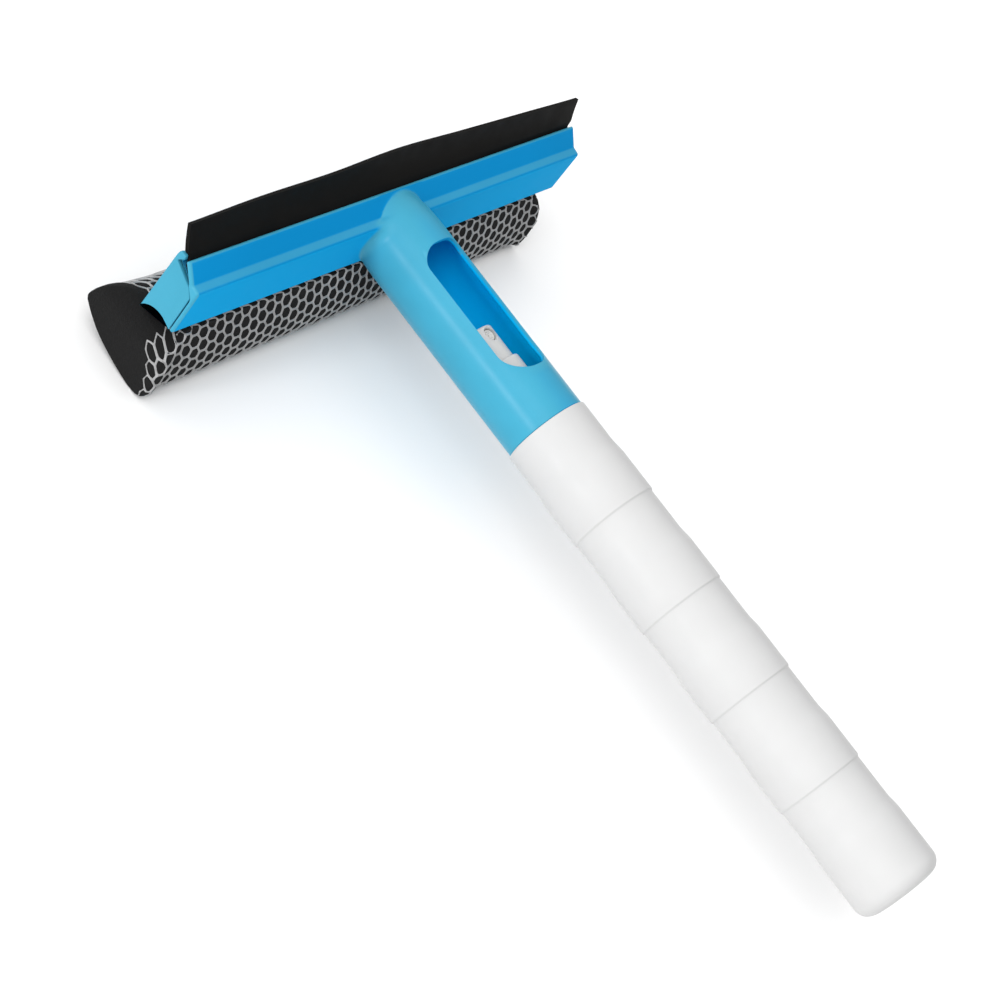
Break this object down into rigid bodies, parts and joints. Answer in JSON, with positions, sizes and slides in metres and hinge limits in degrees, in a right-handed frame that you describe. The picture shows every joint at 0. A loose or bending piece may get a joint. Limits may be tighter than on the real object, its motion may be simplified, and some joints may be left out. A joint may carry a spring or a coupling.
{
  "type": "window cleaning squeegee",
  "caption": "T-shaped window squeegee with a rubber blade, a net-covered foam pad and a banded spray bottle as its handle, with a mist pump behind a finger window.",
  "frame": {"origin": "middle of the lower face of the box round the tool as it lies on its foam pad at rest", "axes": "+X along the crossbar, +Y from the bottle's base to the head, +Z the side that the finger window, the nozzle and the blade face"},
  "size_m": [0.2, 0.2962, 0.0627],
  "materials": {
    "head_blue": "satin moulded polypropylene",
    "cap_blue": "satin moulded polypropylene",
    "rubber": "smooth black rubber",
    "foam": "fine open-cell foam",
    "net": "knitted hexagonal mesh",
    "bottle_white": "blow-moulded polyethylene",
    "pump_white": "moulded polypropylene",
    "clear_tube": "natural polyethylene tube",
    "seal_grey": "soft seal",
    "steel": "drawn wire"
  },
  "bodies": {
    "head": {"head": "head_blue", "end_cap_left": "cap_blue", "end_cap_right": "cap_blue", "rubber_blade": "rubber", "sponge": "foam", "net_sleeve": "net", "sponge_strip": "pump_white"},
    "bottle": {"bottle": "bottle_white"},
    "pump": {"pump_housing": "pump_white", "neck_gasket": "seal_grey", "stem_guide": "pump_white", "stem_seal": "seal_grey", "pump_spring": "steel", "dip_tube": "clear_tube"},
    "closure": {"closure": "pump_white"},
    "button": {"actuator": "pump_white", "nozzle_insert": "pump_white", "pump_stem": "pump_white", "piston": "seal_grey"},
    "valve": {"inlet_ball": "steel"}
  },
  "joints": [
    {"name": "bottle_pull", "type": "slide", "parent": "head", "child": "bottle", "axis": [0, -1, 0], "range_m": [0, 0.05]},
    {"name": "pump_lift", "type": "slide", "parent": "bottle", "child": "pump", "axis": [0, 1, 0], "range_m": [0, 0.0072]},
    {"name": "closure_turn", "type": "hinge", "parent": "pump", "child": "closure", "pos_m": [0, 0.04485, 0.03925], "axis": [0, 1, 0], "range_deg": [0, 720]},
    {"name": "actuator_press", "type": "slide", "parent": "pump", "child": "button", "axis": [0, -1, 0], "range_m": [0, 0.0045], "stiffness_N_per_m": 1200, "deforming": ["pump_spring"]},
    {"name": "ball_lift", "type": "slide", "parent": "pump", "child": "valve", "axis": [0, 1, 0], "range_m": [0, 0.0008]}
  ],
  "couplings": [
    {"joint": "closure_turn", "follows": "pump_lift", "rad_per_m": 1745.3}
  ]
}
